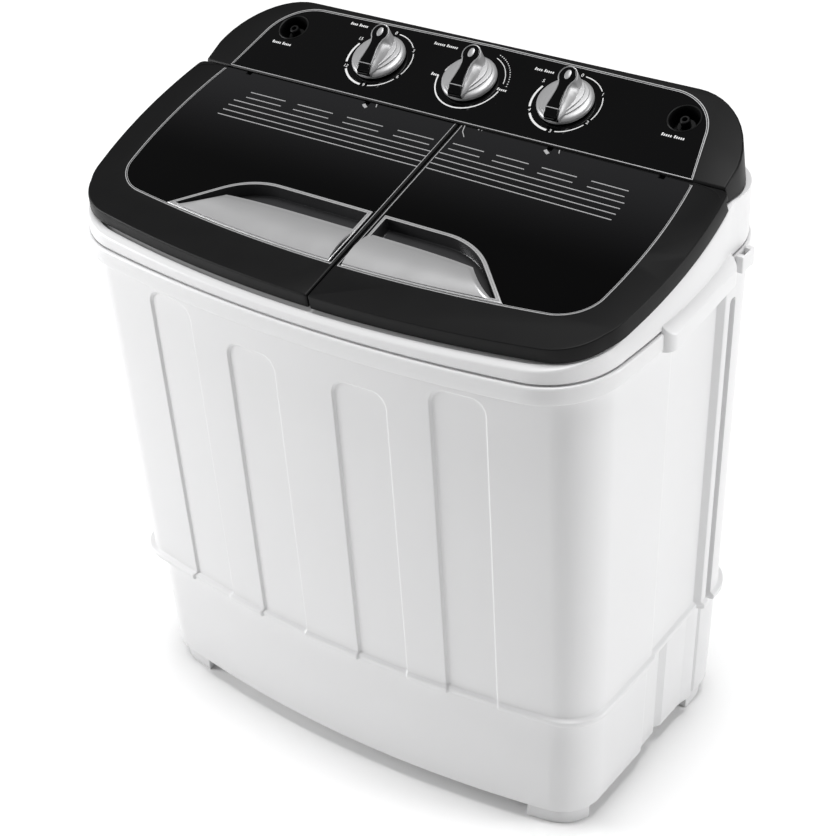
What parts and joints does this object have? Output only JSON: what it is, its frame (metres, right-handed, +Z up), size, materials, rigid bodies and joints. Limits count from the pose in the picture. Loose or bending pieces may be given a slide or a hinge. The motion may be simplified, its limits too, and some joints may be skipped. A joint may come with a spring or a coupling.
{
  "type": "twin tub washer",
  "caption": "Compact twin tub washer with a pulsator wash tub and a spin basket under two sloping hinged lids, and a tilted console with dials.",
  "frame": {"origin": "on the floor, at the middle of the machine's bounding box", "axes": "+Z up, the machine's front faces -Y, +X to the right for a person facing the front"},
  "size_m": [0.596, 0.36, 0.6653],
  "materials": {
    "white_plastic": "satin white moulded plastic",
    "black_plastic": "satin black moulded plastic",
    "gloss_black": "high gloss black acrylic",
    "silver_plastic": "silver metallic painted plastic",
    "steel": "bare brushed steel",
    "tub_plastic": "pale polypropylene",
    "rubber": "black rubber",
    "motor_casting": "dark enamelled casting"
  },
  "bodies": {
    "machine": {"base": "white_plastic", "foot_front_left": "white_plastic", "foot_front_right": "white_plastic", "foot_rear_left": "white_plastic", "foot_rear_right": "white_plastic", "cabinet_shell": "white_plastic", "rear_cover": "white_plastic", "top_frame": "white_plastic", "hose_hook": "white_plastic", "console_housing": "black_plastic", "inlet_left": "black_plastic", "inlet_right": "black_plastic", "drain_spout": "black_plastic", "lid_switch": "black_plastic", "console_fascia": "gloss_black", "rear_cover_screw_1": "steel", "rear_cover_screw_2": "steel", "rear_cover_screw_3": "steel", "rear_cover_screw_4": "steel", "brake_pin": "steel", "motor_spring_1": "steel", "motor_spring_2": "steel", "motor_spring_3": "steel", "wash_tub": "tub_plastic", "spin_outer_tub": "tub_plastic", "drain_valve": "tub_plastic", "drain_elbow": "tub_plastic", "capacitor": "tub_plastic", "wash_timer": "tub_plastic", "selector_switch": "tub_plastic", "spin_timer": "tub_plastic", "drive_belt": "rubber", "spin_bellows": "rubber", "cord_gland": "rubber", "wash_motor": "motor_casting", "spin_motor": "motor_casting", "wash_bearing_housing": "motor_casting"},
    "wash_lid": {"wash_lid_frame": "black_plastic", "wash_lid_window": "gloss_black", "wash_lid_handle": "silver_plastic"},
    "spin_lid": {"spin_lid_frame": "black_plastic", "spin_lid_window": "gloss_black", "spin_lid_handle": "silver_plastic"},
    "wash_timer_knob": {"wash_timer_knob_dial": "silver_plastic", "wash_timer_knob_pointer": "black_plastic"},
    "selector_knob": {"selector_knob_dial": "silver_plastic", "selector_knob_pointer": "black_plastic"},
    "spin_timer_knob": {"spin_timer_knob_dial": "silver_plastic", "spin_timer_knob_pointer": "black_plastic"},
    "pulsator": {"pulsator": "tub_plastic", "pulsator_shaft": "steel", "drive_pulley": "motor_casting"},
    "motor_pulley": {"motor_pulley": "motor_casting"},
    "spin_basket": {"spin_basket": "tub_plastic", "spin_shaft": "steel", "brake_drum": "steel"},
    "spin_cover": {"spin_cover": "tub_plastic"},
    "lint_filter": {"lint_filter": "tub_plastic"},
    "drain_plunger": {"drain_plunger": "rubber"},
    "brake_lever": {"brake_lever": "steel"}
  },
  "joints": [
    {"name": "wash_lid_hinge", "type": "hinge", "parent": "machine", "child": "wash_lid", "pos_m": [-0.125, 0.06194, 0.60703], "axis": [-1, 0, 0], "range_deg": [0, 110]},
    {"name": "spin_lid_hinge", "type": "hinge", "parent": "machine", "child": "spin_lid", "pos_m": [0.135, 0.06194, 0.60703], "axis": [-1, 0, 0], "range_deg": [0, 110]},
    {"name": "wash_timer_turn", "type": "hinge", "parent": "machine", "child": "wash_timer_knob", "pos_m": [-0.1023, 0.11085, 0.63373], "axis": [0, 0.4274, -0.9041], "range_deg": [0, 320]},
    {"name": "selector_turn", "type": "hinge", "parent": "machine", "child": "selector_knob", "pos_m": [0, 0.11085, 0.63373], "axis": [0, 0.4274, -0.9041], "range_deg": [-75, 75]},
    {"name": "spin_timer_turn", "type": "hinge", "parent": "machine", "child": "spin_timer_knob", "pos_m": [0.1023, 0.11085, 0.63373], "axis": [0, 0.4274, -0.9041], "range_deg": [0, 300]},
    {"name": "pulsator_spin", "type": "hinge", "parent": "machine", "child": "pulsator", "pos_m": [-0.13, -0.019, 0.25], "axis": [0, 0, 1], "continuous": true},
    {"name": "motor_pulley_spin", "type": "hinge", "parent": "machine", "child": "motor_pulley", "pos_m": [-0.026, 0.03, 0.176], "axis": [0, 0, 1], "continuous": true},
    {"name": "basket_spin", "type": "hinge", "parent": "machine", "child": "spin_basket", "pos_m": [0.143, -0.03, 0.25], "axis": [0, 0, 1], "continuous": true},
    {"name": "spin_cover_press", "type": "slide", "parent": "spin_basket", "child": "spin_cover", "axis": [0, 0, 1], "range_m": [-0.12, 0]},
    {"name": "lint_filter_lift", "type": "slide", "parent": "machine", "child": "lint_filter", "axis": [0, 0, 1], "range_m": [0, 0.05]},
    {"name": "drain_lift", "type": "slide", "parent": "machine", "child": "drain_plunger", "axis": [0, 0, 1], "range_m": [0, 0.012], "stiffness_N_per_m": 150, "springref_m": -0.01},
    {"name": "brake_swing", "type": "hinge", "parent": "machine", "child": "brake_lever", "pos_m": [0.205, 0.004, 0.175], "axis": [0, 0, 1], "range_deg": [0, 1.85]}
  ],
  "couplings": [
    {"joint": "motor_pulley_spin", "follows": "pulsator_spin", "ratio": 6.517},
    {"joint": "brake_swing", "follows": "spin_lid_hinge", "ratio": 0.016364}
  ]
}
